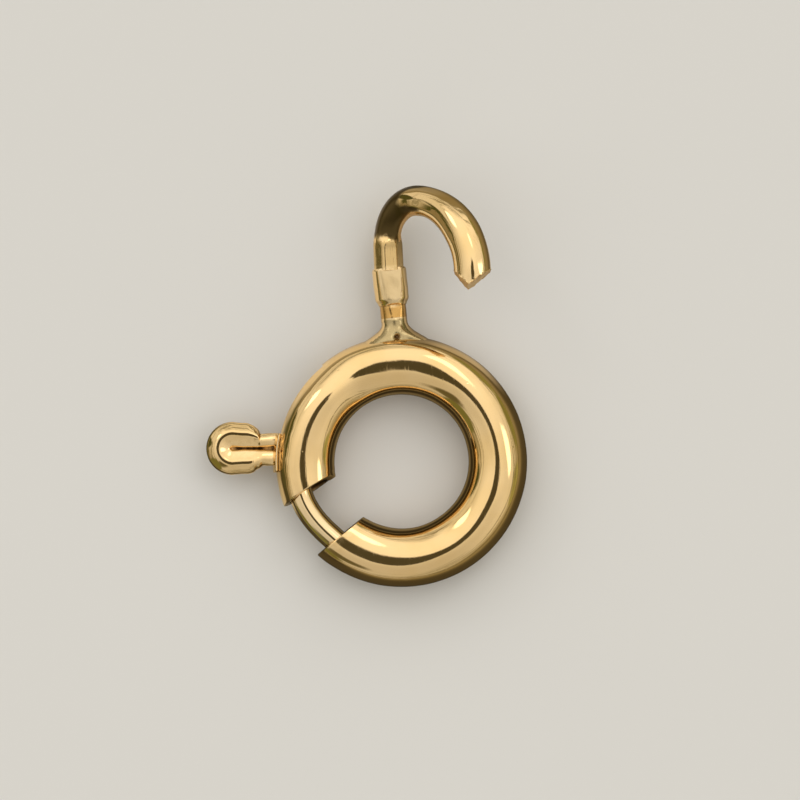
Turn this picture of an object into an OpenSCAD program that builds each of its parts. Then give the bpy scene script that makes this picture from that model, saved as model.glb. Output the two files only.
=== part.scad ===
// A spring ring clasp for a fine chain. A ring bent from thin tube has a gap in one side, and a bolt
// slides inside the tube to close it. A coil spring in the tube pushes the bolt out, and a lever of
// folded wire, riding in a slot round the outside, draws it back. A hook of round wire stands on a
// soldered post for the end of the chain, and is still open, ready to be closed round a link.
// The ring lies flat in the XY plane with its centre at the origin, and the hook points along +Y.
// Angles on the ring are counted anticlockwise from +X. Lengths are in millimetres, angles in degrees.

/* [Ring] */
// Outer diameter of the ring
ring_od = 6; // [5:0.1:8]
// Diameter of the tube that the ring is bent from
tube_d = 1.4; // [1.3:0.02:1.7]
// Thickness of the tube's wall
wall = 0.16; // [0.12:0.01:0.2]
// Where on the ring the tube is sawn off on the side that the bolt comes out of
upper_cut = 197.5; // [192:0.5:202]
// Turn of that cut from square to the tube, seen from above
upper_skew = 15; // [0:1:20]
// Lean of that cut, so that the tube reaches further at its underside
upper_lean = 9; // [0:1:12]
// Where on the ring the tube starts again on the side that the bolt goes into
lower_cut = 230.5; // [224:0.5:240]
// Turn of that cut from square to the tube, seen from above
lower_skew = -11; // [-20:1:0]
// Thickness of the wall inside the tube that the spring pushes against
stop_t = 0.2; // [0.1:0.05:0.5]
// Where on the ring that wall's face lies
stop_angle = 20; // [0:5:60]

/* [Bolt] */
// Diameter of the bolt's tongue
tongue_d = 0.58; // [0.4:0.02:0.66]
// How far the closed tongue reaches past the lower cut
tongue_reach = 0.3; // [0.1:0.05:0.6]
// Length of the bolt's head along the tube
head_l = 0.9; // [0.7:0.05:1.2]
// Length of the tapered nose of the tongue
nose_l = 0.1; // [0.05:0.01:0.2]
// Step where the nose is turned down from the tongue
nose_step = 0.03; // [0.02:0.01:0.08]
// Length of the pin that centres the spring on the bolt
tail_l = 0.18; // [0.1:0.02:0.4]
// Diameter of that pin
tail_d = 0.36; // [0.2:0.02:0.44]

/* [Lever] */
// Where on the ring the closed lever stands
lever_angle = 174; // [170:1:178]
// Turn of the lever's axis from the ring's radius
lever_lean = 6; // [0:1:8]
// Distance from the ring to the far end of the lever's head
lever_l = 1.66; // [1.3:0.02:2.2]
// Width of the lever's head
lever_w = 1.22; // [1:0.02:1.6]
// Thickness of the lever's pressed head
lever_t = 0.44; // [0.3:0.02:0.6]
// Distance from the ring to the shoulders of the head
shoulder_x = 0.42; // [0.3:0.02:0.6]
// Width of the slit down the middle of the head
slit_w = 0.06; // [0.04:0.01:0.07]
// Thickness of each of the two wires of the lever's neck
leg_d = 0.34; // [0.24:0.02:0.4]
// Width of the slit between the two wires of the neck
leg_gap = 0.08; // [0.08:0.01:0.14]
// Thickness of the saddle that the lever slides on
saddle_t = 0.06; // [0.05:0.01:0.12]
// Length of the saddle round the ring
saddle_l = 0.94; // [0.8:0.02:1.3]
// Height of the saddle up the side of the tube
saddle_h = 0.74; // [0.6:0.02:0.9]
// How far round the ring the saddle's middle lies beyond the lever's axis
saddle_turn = 2; // [0:0.5:3]
// Diameter of the pin that joins the lever to the bolt
pin_d = 0.34; // [0.24:0.02:0.44]
// Depth of the pin past the middle of the tube
pin_depth = 0.12; // [0.05:0.01:0.2]

/* [Spring] */
// Diameter of the spring's wire
spring_wire = 0.13; // [0.08:0.01:0.16]
// Number of turns of the spring
spring_turns = 22; // [14:1:24]

/* [Post] */
// Where on the ring the post stands
post_angle = 91.5; // [85:0.5:95]
// Lean of the post from the +Y direction
post_lean = 6; // [0:0.5:8]
// Height of the post's foot and neck above the tube
neck_h = 0.76; // [0.5:0.02:1.2]
// Diameter of the neck
neck_d = 0.64; // [0.5:0.02:0.74]
// Radius of the sweep from the neck into the foot
flare_r = 0.33; // [0.2:0.01:0.4]
// Length of the pressed grip above the neck
grip_l = 0.88; // [0.6:0.02:1.4]
// Diameter of the grip
grip_d = 0.82; // [0.78:0.02:1]
// Thickness of the grip across its two pressed flats
grip_t = 0.67; // [0.5:0.01:0.74]
// Thickness of the foot across its flats
foot_t = 0.84; // [0.76:0.02:1]
// How far the foot is sunk below the top of the tube
foot_sink = 0.08; // [0.04:0.01:0.14]
// Length of the taper at the grip's lower end
grip_taper = 0.16; // [0.08:0.02:0.3]

/* [Hook] */
// Diameter of the hook's wire where it leaves the grip
wire_d = 0.72; // [0.5:0.02:0.76]
// Diameter where the pliers pinched the first bend
shoulder_d = 0.62; // [0.4:0.02:0.72]
// Diameter of the wire near its free end, which is left thicker
end_d = 0.88; // [0.6:0.02:0.96]
// Lean of the hook from the +Y direction
hook_lean = 2.5; // [0:0.5:6]
// How far the hook is turned up out of the ring's plane
hook_tilt = 40; // [0:1:50]
// Length of straight wire between the grip and the first bend
stem_l = 0.64; // [0.4:0.02:1.2]
// Radius of the first bend, to the middle of the wire
bend_r = 0.92; // [0.8:0.01:1.1]
// Turn of the first bend
bend_turn = 95; // [85:1:110]
// Radius of the wide bend that follows
sweep_r = 1.73; // [1.4:0.01:2]
// Turn of the wide bend
sweep_turn = 99; // [80:1:105]
// Height of the pinched tip, from its ridge back to where the wire is whole
tip_h = 0.4; // [0.2:0.02:0.5]
// Distance of the tip's ridge from the middle of the wire, towards the inside of the hook
tip_shift = 0.08; // [0:0.01:0.15]
// Slope of the tip's inner face
tip_in = 49; // [35:1:60]
// Slope of the tip's outer face
tip_out = 37; // [30:1:60]
// Lean of the tip's faces, which lets them be seen from above
tip_rake = 15; // [0:1:30]

/* [Clearances] */
// Gap between the bolt's head and the bore
head_gap = 0.03; // [0.02:0.01:0.04]
// Gap between the tongue and the outer side of the bore that it rides along
tongue_gap = 0.05; // [0.05:0.01:0.12]
// Gap between the lever's pin and its hole in the bolt
pin_gap = 0.02; // [0.01:0.01:0.04]
// Gap between the lever's pin and each side and end of the slot
slot_gap = 0.05; // [0.03:0.01:0.08]
// Gap between the saddle and the tube
saddle_gap = 0.02; // [0.02:0.01:0.06]
// Gap between the spring and the bore
spring_gap = 0.1; // [0.05:0.01:0.14]
// Gap between each end of the spring and what it pushes on
spring_end_gap = 0.02; // [0.01:0.01:0.05]

/* [Hidden] */

gold = "#dcb877";
pale_gold = "#e6cf9a";

// Facets of round surfaces
$fn = 96;
// Sides of the spring's wire, and steps in one of its turns
spring_sides = 6;
spring_steps = 12;
// Sides of the hook's wire, and steps in its first bend and its wide bend
hook_sides = 20;
bend_steps = 12;
sweep_steps = 14;
// How far a thinner form runs into the thicker one that carries it
sink = 0.05;

tube_r = tube_d / 2;
ring_r = (ring_od - tube_d) / 2;
bore_r = tube_r - wall;
head_r = bore_r - head_gap;
tongue_r = tongue_d / 2;
tongue_path_r = ring_r + bore_r - tongue_gap - tongue_r;

// Degrees that a length takes up on the ring at the tube's middle line
function turn_of(length, r = ring_r) = length / r * 180 / PI;
function polar(r, angle) = [r * cos(angle), r * sin(angle)];

gap_middle = (upper_cut + lower_cut) / 2;
head_from = lever_angle - turn_of(head_l) / 2;
head_to = lever_angle + turn_of(head_l) / 2;
tip_angle = lower_cut + turn_of(tongue_reach);
// The lever draws the end of the tongue's full thickness back to the upper cut
travel = tip_angle - upper_cut;
slot_margin = turn_of(pin_d / 2 + slot_gap, ring_od / 2);
slot_from = lever_angle - travel - slot_margin;
slot_to = lever_angle + slot_margin;
slot_h = pin_d + 2 * slot_gap;

// Stations along the post's axis, from the middle of the tube
foot_from = 0.6 * tube_r;
neck_from = tube_r - foot_sink + flare_r;
grip_from = tube_r + neck_h;
stem_from = grip_from + grip_l;

// The part of a torus about Z between two angles
module tube_arc(from, to, r, path_r = ring_r) {
    rotate([0, 0, from])
        rotate_extrude(angle = to - from)
            translate([path_r, 0])
                circle(r = r);
}

// A block with one face on a cut: local +Y points round the ring on the clockwise side of the cut
module block_at_cut(angle, skew, lean, side) {
    translate(polar(ring_r, angle))
        rotate([0, 0, angle + 180 + skew])
            rotate([-lean, 0, 0])
                translate([-tube_d, side < 0 ? -2 * tube_d : 0, -2 * tube_d])
                    cube([2 * tube_d, 2 * tube_d, 4 * tube_d]);
}

module gap_between_cuts() {
    intersection() {
        block_at_cut(upper_cut, upper_skew, upper_lean, -1);
        block_at_cut(lower_cut, lower_skew, 0, 1);
    }
}

module lever_slot() {
    rotate([0, 0, slot_from])
        rotate_extrude(angle = slot_to - slot_from)
            translate([ring_r, -slot_h / 2])
                square([tube_d, slot_h]);
}

// Everything between two flats that stand square to the post's thin direction
module between_flats(thickness) {
    intersection() {
        children();
        translate([-ring_od, -thickness / 2, 0])
            cube([2 * ring_od, thickness, 2 * stem_from]);
    }
}

// Soldered foot, neck and pressed grip, standing along the local +Z axis
module post() {
    between_flats(foot_t) {
        rotate_extrude()
            difference() {
                translate([0, foot_from])
                    square([neck_d / 2 + flare_r, neck_from - foot_from]);
                translate([neck_d / 2 + flare_r, neck_from])
                    circle(r = flare_r);
            }
    }
    translate([0, 0, foot_from])
        cylinder(h = grip_from + sink - foot_from, d = neck_d);
    between_flats(grip_t)
        translate([0, 0, grip_from]) {
            cylinder(h = grip_taper, d1 = neck_d + sink / 2, d2 = grip_d);
            translate([0, 0, grip_taper])
                cylinder(h = grip_l - grip_taper, d = grip_d);
        }
}

// The hook's path in its own plane: each station holds x, y, the heading in degrees clockwise from
// +Y, and the distance travelled from the grip
bend_l = bend_r * bend_turn * PI / 180;
sweep_l = sweep_r * sweep_turn * PI / 180;
bend_end = [bend_r * (1 - cos(bend_turn)), stem_l + bend_r * sin(bend_turn)];
hook_path = concat(
    [[0, -sink, 0, 0]],
    [for (i = [0 : bend_steps])
        let (turn = bend_turn * i / bend_steps)
        [bend_r * (1 - cos(turn)), stem_l + bend_r * sin(turn), turn, stem_l + bend_l * i / bend_steps]],
    [for (i = [1 : sweep_steps])
        let (turn = bend_turn + sweep_turn * i / sweep_steps)
        [bend_end.x + sweep_r * (cos(bend_turn) - cos(turn)),
         bend_end.y + sweep_r * (sin(turn) - sin(bend_turn)),
         turn,
         stem_l + bend_l + sweep_l * i / sweep_steps]]
);
hook_end = hook_path[len(hook_path) - 1];

// Thickness of the wire along the hook: share of its length, and diameter there
hook_diameters = [
    [0.00, wire_d],
    [0.15, wire_d],
    [0.29, shoulder_d],
    [0.45, wire_d],
    [0.75, end_d],
    [1.00, end_d]
];

// The wire swept along the path, in the path's own plane
module hook_wire() {
    points = [
        for (at = hook_path, side = [0 : hook_sides - 1])
            let (
                r = lookup(at[3] / hook_end[3], hook_diameters) / 2,
                out = r * cos(360 * side / hook_sides)
            )
            [at.x - out * cos(at[2]), at.y + out * sin(at[2]), r * sin(360 * side / hook_sides)]
    ];
    polyhedron(points = points, faces = tube_faces(len(hook_path), hook_sides));
}

// Faces of a closed tube of rings of points, each ring anticlockwise seen from the tube's far end
function tube_faces(rings, sides) = concat(
    [for (ring = [0 : rings - 2], side = [0 : sides - 1])
        let (
            next = (side + 1) % sides,
            here = ring * sides,
            ahead = here + sides
        )
        [here + side, ahead + side, ahead + next, here + next]],
    [[for (side = [0 : sides - 1]) side]],
    [[for (side = [sides - 1 : -1 : 0]) (rings - 1) * sides + side]]
);

// Everything past the two faces of the pinched tip, whose ridge is at the origin
module past_tip() {
    reach = end_d;
    rotate([-tip_rake, 0, 0])
        linear_extrude(4 * end_d, center = true)
            polygon([
                [0, 0],
                [-reach, reach * tan(tip_in)],
                [-reach, -reach],
                [reach, -reach],
                [reach, reach * tan(tip_out)]
            ]);
}

// The hook from the grip's end, turned up out of the ring's plane and pinched off at its free end
module hook() {
    difference() {
        rotate([0, -hook_tilt, 0])
            hook_wire();
        translate([hook_end.x * cos(hook_tilt) - tip_shift, hook_end.y, hook_end.x * sin(hook_tilt)])
            past_tip();
    }
}

// The ring's tube with the post and the hook soldered to it, which are one piece of metal
module clasp_body() {
    color(gold) {
        difference() {
            union() {
                rotate_extrude()
                    translate([ring_r, 0])
                        circle(r = tube_r);
                translate(polar(ring_r, post_angle))
                    rotate([-90, 0, post_lean])
                        post();
            }
            tube_arc(stop_angle, gap_middle, bore_r);
            tube_arc(gap_middle, 360 + stop_angle - turn_of(stop_t), bore_r);
            gap_between_cuts();
            lever_slot();
        }
        translate(polar(ring_r, post_angle) + polar(stem_from, post_lean + 90))
            rotate([0, 0, hook_lean])
                hook();
    }
}

// The lever's pin, or the hole for it, along the ring's radius from a given depth outwards
module radial_pin(r, from) {
    rotate([0, 0, lever_angle])
        translate([from, 0, 0])
            rotate([0, 90, 0])
                cylinder(h = ring_od / 2 + saddle_gap + saddle_t / 2 - from, r = r);
}

// The head slides in the bore, and the thinner tongue rides along the outer side of it
module bolt() {
    color(pale_gold)
        difference() {
            union() {
                tube_arc(head_from, head_to, head_r);
                tube_arc(head_to - turn_of(sink), tip_angle, tongue_r, tongue_path_r);
                rotate([0, 0, tip_angle])
                    translate([tongue_path_r, -sink, 0])
                        rotate([-90, 0, 0])
                            cylinder(h = sink + nose_l, r1 = tongue_r - nose_step, r2 = tongue_r / 2);
                rotate([0, 0, head_from])
                    translate([ring_r, sink, 0])
                        rotate([90, 0, 0])
                            cylinder(h = sink + tail_l, d = tail_d);
            }
            radial_pin(pin_d / 2 + pin_gap, ring_r - pin_depth - pin_gap);
        }
}

// Round wire of a given width, pressed to the lever's thickness
module pressed_section(width) {
    intersection() {
        circle(d = width);
        square([width, lever_t], center = true);
    }
}

// A wire along local X on each side of the slit
module wire_pair(from, to, slit, width) {
    for (side = [-1, 1])
        translate([from, side * (slit + width) / 2, 0])
            rotate([90, 0, 90])
                linear_extrude(to - from)
                    pressed_section(width);
}

// A curved plate that follows the side of the tube and slides on it over the slot
module saddle() {
    inner_r = tube_r + saddle_gap;
    middle = lever_angle + saddle_turn;
    half_turn = turn_of(saddle_l, ring_od / 2) / 2;
    rotate([0, 0, middle - half_turn])
        rotate_extrude(angle = 2 * half_turn)
            translate([ring_r, 0])
                intersection() {
                    difference() {
                        circle(r = inner_r + saddle_t);
                        circle(r = inner_r);
                    }
                    translate([0, -saddle_h / 2])
                        square([2 * tube_d, saddle_h]);
                }
}

// A folded wire: a pressed loop for a head, two wires side by side for a neck, a saddle and a pin
module lever() {
    head_wire = (lever_w - slit_w) / 2;
    head_centre_x = lever_l - lever_w / 2;
    color(gold) {
        difference() {
            translate(polar(ring_od / 2, lever_angle))
                rotate([0, 0, lever_angle + lever_lean]) {
                    translate([head_centre_x, 0, 0])
                        rotate([0, 0, -90])
                            rotate_extrude(angle = 180)
                                translate([(slit_w + head_wire) / 2, 0])
                                    pressed_section(head_wire);
                    wire_pair(shoulder_x, head_centre_x, slit_w, head_wire);
                    wire_pair(-wall, shoulder_x + sink, leg_gap, leg_d);
                }
            rotate_extrude()
                translate([ring_r, 0])
                    circle(r = tube_r + saddle_gap);
        }
        saddle();
        radial_pin(pin_d / 2, ring_r - pin_depth);
    }
}

// One corner of the spring's wire: its place along the coil and its place round the wire
function spring_corner(share, side) =
    let (
        wire_angle = 360 * side / spring_sides,
        phase = 360 * spring_turns * share,
        coil_r = bore_r - spring_gap - spring_wire / 2,
        out = coil_r + spring_wire / 2 * cos(wire_angle),
        end_turn = turn_of(spring_end_gap + spring_wire / 2),
        along = stop_angle + end_turn + share * (head_from - stop_angle - 2 * end_turn),
        angle = along + turn_of(spring_wire / 2 * sin(wire_angle)),
        r = ring_r + out * cos(phase)
    )
    [r * cos(angle), r * sin(angle), out * sin(phase)];

// The coil that pushes the bolt, lying in the bore between the stop and the bolt's head
module spring() {
    steps = spring_turns * spring_steps;
    points = [
        for (step = [0 : steps], side = [0 : spring_sides - 1])
            spring_corner(step / steps, side)
    ];
    color(pale_gold)
        polyhedron(points = points, faces = tube_faces(steps + 1, spring_sides));
}

clasp_body();
bolt();
lever();
spring();
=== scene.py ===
# %% [markdown]
# # A spring ring clasp in gold
# The clasp is a hollow ring of bent tube, a post with a hook soldered to it, a bolt that slides in the
# tube, a lever of folded wire that draws it, and a coil spring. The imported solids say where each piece
# is. Here every piece is made again with the finer shape and the finish of polished gold.

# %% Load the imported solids
import math

import bmesh
import bpy
from mathutils import Matrix, Vector, noise
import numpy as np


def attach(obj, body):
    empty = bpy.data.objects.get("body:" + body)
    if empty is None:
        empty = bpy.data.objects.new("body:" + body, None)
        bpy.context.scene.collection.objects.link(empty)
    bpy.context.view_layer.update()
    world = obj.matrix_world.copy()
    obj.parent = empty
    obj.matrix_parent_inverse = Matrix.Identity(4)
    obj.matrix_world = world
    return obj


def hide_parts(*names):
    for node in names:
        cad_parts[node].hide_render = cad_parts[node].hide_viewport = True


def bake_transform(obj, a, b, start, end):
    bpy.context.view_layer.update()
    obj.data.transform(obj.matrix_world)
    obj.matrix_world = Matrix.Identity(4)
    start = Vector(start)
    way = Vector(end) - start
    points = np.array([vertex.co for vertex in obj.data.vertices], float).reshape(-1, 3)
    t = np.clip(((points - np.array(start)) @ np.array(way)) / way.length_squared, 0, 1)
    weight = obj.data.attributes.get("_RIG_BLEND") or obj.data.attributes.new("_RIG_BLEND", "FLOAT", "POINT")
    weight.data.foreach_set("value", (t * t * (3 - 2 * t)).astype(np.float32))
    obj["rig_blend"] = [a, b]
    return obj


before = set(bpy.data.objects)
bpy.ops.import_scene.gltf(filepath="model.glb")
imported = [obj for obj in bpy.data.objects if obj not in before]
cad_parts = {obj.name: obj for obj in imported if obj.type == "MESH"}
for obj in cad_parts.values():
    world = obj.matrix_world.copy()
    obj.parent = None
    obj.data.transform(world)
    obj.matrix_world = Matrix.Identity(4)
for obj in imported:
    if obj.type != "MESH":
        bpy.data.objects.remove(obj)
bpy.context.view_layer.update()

# %% [markdown]
# ## Sizes
# A clasp this small is easier to think about in millimetres. All the shapes below are made in
# millimetres and scaled to metres in one place, when the mesh is finished.

# %% Main sizes in millimetres
MM = 0.001
TUBE_R = 0.70
BORE_R = 0.54
RING_R = 2.30
UPPER_CUT = 197.5
LOWER_CUT = 230.5 - 360
SLOT_FROM = 129.4
SLOT_TO = 178.2
LEVER_ANGLE = 174
POST_ANGLE = 91.5
UP = Vector((0, 0, 1))
print("ring", 2 * (RING_R + TUBE_R), "mm across, tube", 2 * TUBE_R, "mm thick")

# %% [markdown]
# ## Small helpers
# Angles run anticlockwise from +X, as on the drawing of the ring. `between` is a straight blend and
# `eased` a soft one, and `table_value` reads a short table of stations.

# %% Angles and blends
def direction(angle):
    """The level direction at an angle in degrees."""
    return Vector((math.cos(math.radians(angle)), math.sin(math.radians(angle)), 0))


def on_circle(radius, angle):
    return direction(angle) * radius


def between(a, b, share):
    return a + (b - a) * share


def eased(low, high, value):
    share = min(max((value - low) / (high - low), 0), 1)
    return share * share * (3 - 2 * share)


def table_value(table, at):
    """Reads a table of (station, value) pairs, with a soft step from each row to the next."""
    if at <= table[0][0]:
        return table[0][1]
    for (a, low), (b, high) in zip(table, table[1:]):
        if at <= b:
            return between(low, high, eased(a, b, at))
    return table[-1][1]


def steps(start, end, count):
    return [between(start, end, i / count) for i in range(count + 1)]


print("halfway between two stations:", table_value([(0, 1), (1, 3)], 0.5))

# %% [markdown]
# ## Sweeping a section
# Wire, tube and post are all one thing to a maker: a section that travels along a path. A circle of
# points is extruded from station to station, and the points of each new ring are put on the section
# there. Each point remembers its place round the section, so that a flat or a dent can be asked for
# by its place.

# %% Sweep a section through stations
def swept(bm, sides, stations, section):
    """Extrudes a ring of points through stations, each (share, origin, across, up), and puts every
    point at origin + across * a + up * b, where section(share, turn) gives a and b for a turn of 0 to 1."""
    turn = bm.verts.layers.float.get("turn") or bm.verts.layers.float.new("turn")
    along = bm.verts.layers.float.get("along") or bm.verts.layers.float.new("along")
    ring = bmesh.ops.create_circle(bm, segments=sides, radius=1)["verts"]
    for number, point in enumerate(ring):
        point[turn] = (number + 0.5) / sides
    first = ring
    for number, (share, origin, across, up) in enumerate(stations):
        if number:
            here = set(ring)
            edges = {e for v in ring for e in v.link_edges if e.other_vert(v) in here}
            made = bmesh.ops.extrude_edge_only(bm, edges=list(edges))["geom"]
            ring = [g for g in made if isinstance(g, bmesh.types.BMVert)]
        for point in ring:
            a, b = section(share, point[turn])
            point.co = origin + across * a + up * b
            point[along] = share
    return first, ring


def closed_ends(bm):
    open_edges = [e for e in bm.edges if e.is_boundary]
    return bmesh.ops.holes_fill(bm, edges=open_edges, sides=0)["faces"]


def round_section(radius, turn):
    angle = 2 * math.pi * turn
    return radius * math.cos(angle), radius * math.sin(angle)


def soft_limit(value, limit, sharpness=14):
    """Holds a value within a limit, with a small rounding where the limit starts."""
    share = abs(value) / limit
    return value / (1 + share ** sharpness) ** (1 / sharpness)


def hand_worn(point, size, depth):
    """A slow unevenness of the surface, as left by bending and polishing by hand."""
    return depth * noise.noise(point / size)


# %% [markdown]
# ## Finishing a mesh
# Every piece ends the same way: doubles merged, normals turned outwards, scaled to metres, shaded
# smooth with its hard edges kept, and given to the body that it moves with.

# %% Turn a bmesh into a piece
def mark_wear(bm, spread=3):
    """Stores how worn each point is: fully at sharp edges, and less over a few points around them."""
    wear = bm.verts.layers.float.new("wear")
    for point in bm.verts:
        angles = [e.calc_face_angle(0) for e in point.link_edges]
        point[wear] = eased(0.45, 1.0, max(angles, default=0))
    for _ in range(spread):
        nearby = [max((e.other_vert(v)[wear] for e in v.link_edges), default=0) for v in bm.verts]
        for point, most in zip(bm.verts, nearby):
            point[wear] = max(point[wear], 0.7 * most)


def finished(bm, name, finish, body, stands_for=None, hard_edge=32):
    bmesh.ops.remove_doubles(bm, verts=bm.verts, dist=0.0002)
    bmesh.ops.recalc_face_normals(bm, faces=bm.faces)
    mark_wear(bm)
    bmesh.ops.scale(bm, vec=(MM, MM, MM), verts=bm.verts)
    mesh = bpy.data.meshes.new(name)
    bm.to_mesh(mesh)
    bm.free()
    mesh.shade_smooth()
    mesh.set_sharp_from_angle(angle=math.radians(hard_edge))
    for material in finish:
        mesh.materials.append(material)
    piece = bpy.data.objects.new(name, mesh)
    bpy.context.scene.collection.objects.link(piece)
    if body:
        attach(piece, body)
    if stands_for:
        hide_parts(*stands_for)
    size = [round(x / MM, 2) for x in piece.dimensions]
    print(name, len(mesh.polygons), "faces,", size, "mm")
    return piece


# %% [markdown]
# ## The look of polished gold
# Gold has no colour of its own but tints what it mirrors. What makes it real is that the polish is
# never even: slow changes of tone, hairline scratches from the polishing wheel and a few tiny pits.
# These are shared by all the gold pieces, so they are one node group, which each material uses with
# its own values.

# %% A node group for polishing marks
def add(nodes, kind, label=None, **values):
    node = nodes.new(kind)
    if label:
        node.label = label
    for key, value in values.items():
        setattr(node, key, value)
    return node


def polish_marks_group():
    group = bpy.data.node_groups.new("polish_marks", "ShaderNodeTree")
    face = group.interface
    for name, kind, value in (("Base", "NodeSocketColor", (0.8, 0.6, 0.3, 1)),
                              ("Shade", "NodeSocketColor", (0.6, 0.4, 0.15, 1)),
                              ("Roughness", "NodeSocketFloat", 0.15),
                              ("Scratches", "NodeSocketFloat", 0.5),
                              ("Wear", "NodeSocketFloat", 0.0),
                              ("Painted Dark", "NodeSocketFloat", 0.0)):
        face.new_socket(name=name, in_out="INPUT", socket_type=kind).default_value = value
    for name, kind in (("Color", "NodeSocketColor"), ("Roughness", "NodeSocketFloat"), ("Height", "NodeSocketFloat")):
        face.new_socket(name=name, in_out="OUTPUT", socket_type=kind)
    nodes, links = group.nodes, group.links
    inside = add(nodes, "NodeGroupInput")
    outside = add(nodes, "NodeGroupOutput")
    coords = add(nodes, "ShaderNodeTexCoord")

    slow = add(nodes, "ShaderNodeTexNoise", "slow change of tone")
    slow.inputs["Scale"].default_value = 900
    slow.inputs["Detail"].default_value = 4
    tone = add(nodes, "ShaderNodeMapRange")
    tone.inputs["From Min"].default_value = 0.42
    tone.inputs["From Max"].default_value = 0.75
    color = add(nodes, "ShaderNodeMix", data_type="RGBA")
    links.new(coords.outputs["Object"], slow.inputs["Vector"])
    links.new(slow.outputs["Fac"], tone.inputs["Value"])
    links.new(tone.outputs["Result"], color.inputs["Factor"])
    links.new(inside.outputs["Base"], color.inputs["A"])
    links.new(inside.outputs["Shade"], color.inputs["B"])

    rub = add(nodes, "ShaderNodeTexNoise", "edges are rubbed unevenly")
    rub.inputs["Scale"].default_value = 9000
    rub.inputs["Detail"].default_value = 4
    bare = add(nodes, "ShaderNodeMapRange")
    bare.inputs["From Min"].default_value = 0.32
    bare.inputs["From Max"].default_value = 0.60
    rubbed = add(nodes, "ShaderNodeMath", operation="MULTIPLY")
    bright = add(nodes, "ShaderNodeMix", data_type="RGBA")
    bright.inputs["B"].default_value = (0.93, 0.68, 0.36, 1)
    links.new(coords.outputs["Object"], rub.inputs["Vector"])
    links.new(rub.outputs["Fac"], bare.inputs["Value"])
    links.new(bare.outputs["Result"], rubbed.inputs[0])
    links.new(inside.outputs["Wear"], rubbed.inputs[1])
    links.new(rubbed.outputs["Value"], bright.inputs["Factor"])
    links.new(color.outputs["Result"], bright.inputs["A"])
    # Painted dark reflection: where the mesh stores it, the colour is mixed to dark brown, for a dark part of the
    # room mirrored on the hook's first bend.
    painted_dark_mix = add(nodes, "ShaderNodeMix", "painted dark reflection, dark brown", data_type="RGBA")
    painted_dark_mix.inputs["B"].default_value = (0.105, 0.070, 0.025, 1)
    links.new(inside.outputs["Painted Dark"], painted_dark_mix.inputs["Factor"])
    links.new(bright.outputs["Result"], painted_dark_mix.inputs["A"])
    links.new(painted_dark_mix.outputs["Result"], outside.inputs["Color"])

    stretch = add(nodes, "ShaderNodeMapping", "scratches run one way")
    stretch.inputs["Scale"].default_value = (1.0, 0.05, 1.0)
    stretch.inputs["Rotation"].default_value = (0, 0, 0.5)
    hairs = add(nodes, "ShaderNodeTexNoise", "hairline scratches")
    hairs.inputs["Scale"].default_value = 26000
    hairs.inputs["Detail"].default_value = 3
    fine = add(nodes, "ShaderNodeMapRange", "only the deepest show")
    fine.inputs["From Min"].default_value = 0.60
    fine.inputs["From Max"].default_value = 0.78
    links.new(coords.outputs["Object"], stretch.inputs["Vector"])
    links.new(stretch.outputs["Vector"], hairs.inputs["Vector"])
    links.new(hairs.outputs["Fac"], fine.inputs["Value"])
    amount = add(nodes, "ShaderNodeMath", operation="MULTIPLY")
    links.new(fine.outputs["Result"], amount.inputs[0])
    links.new(inside.outputs["Scratches"], amount.inputs[1])

    haze = add(nodes, "ShaderNodeTexNoise", "haze left by polish")
    haze.inputs["Scale"].default_value = 2400
    haze.inputs["Detail"].default_value = 6
    links.new(coords.outputs["Object"], haze.inputs["Vector"])
    rough = add(nodes, "ShaderNodeMath", operation="MULTIPLY_ADD")
    rough.inputs[1].default_value = 0.07
    links.new(haze.outputs["Fac"], rough.inputs[0])
    links.new(inside.outputs["Roughness"], rough.inputs[2])
    scuffed = add(nodes, "ShaderNodeMath", operation="MULTIPLY_ADD")
    scuffed.inputs[1].default_value = 0.12
    links.new(amount.outputs["Value"], scuffed.inputs[0])
    links.new(rough.outputs["Value"], scuffed.inputs[2])
    worn = add(nodes, "ShaderNodeMath", "rubbed edges are duller", operation="MULTIPLY_ADD")
    worn.inputs[1].default_value = 0.16
    links.new(rubbed.outputs["Value"], worn.inputs[0])
    links.new(scuffed.outputs["Value"], worn.inputs[2])
    # Where the dark reflection is painted, the surface is also made rougher.
    matt = add(nodes, "ShaderNodeMath", "rougher under the painted dark reflection", operation="MULTIPLY_ADD")
    matt.inputs[1].default_value = 0.26
    links.new(inside.outputs["Painted Dark"], matt.inputs[0])
    links.new(worn.outputs["Value"], matt.inputs[2])
    links.new(matt.outputs["Value"], outside.inputs["Roughness"])

    pits = add(nodes, "ShaderNodeTexVoronoi", "tiny pits")
    pits.inputs["Scale"].default_value = 1500
    pit = add(nodes, "ShaderNodeMapRange")
    pit.inputs["From Min"].default_value = 0.0
    pit.inputs["From Max"].default_value = 0.05
    pit.inputs["To Min"].default_value = -1.0
    pit.inputs["To Max"].default_value = 0.0
    links.new(coords.outputs["Object"], pits.inputs["Vector"])
    links.new(pits.outputs["Distance"], pit.inputs["Value"])
    ripple = add(nodes, "ShaderNodeTexNoise", "soft ripple")
    ripple.inputs["Scale"].default_value = 5000
    ripple.inputs["Detail"].default_value = 2
    links.new(coords.outputs["Object"], ripple.inputs["Vector"])
    height = add(nodes, "ShaderNodeMath", operation="MULTIPLY_ADD")
    height.inputs[1].default_value = 0.35
    links.new(ripple.outputs["Fac"], height.inputs[0])
    links.new(pit.outputs["Result"], height.inputs[2])
    cut = add(nodes, "ShaderNodeMath", operation="MULTIPLY_ADD")
    cut.inputs[1].default_value = -0.3
    links.new(amount.outputs["Value"], cut.inputs[0])
    links.new(height.outputs["Value"], cut.inputs[2])
    links.new(cut.outputs["Value"], outside.inputs["Height"])
    return group


polish_marks = polish_marks_group()
print("shared group:", polish_marks.name, "with", len(polish_marks.nodes), "nodes")

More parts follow.
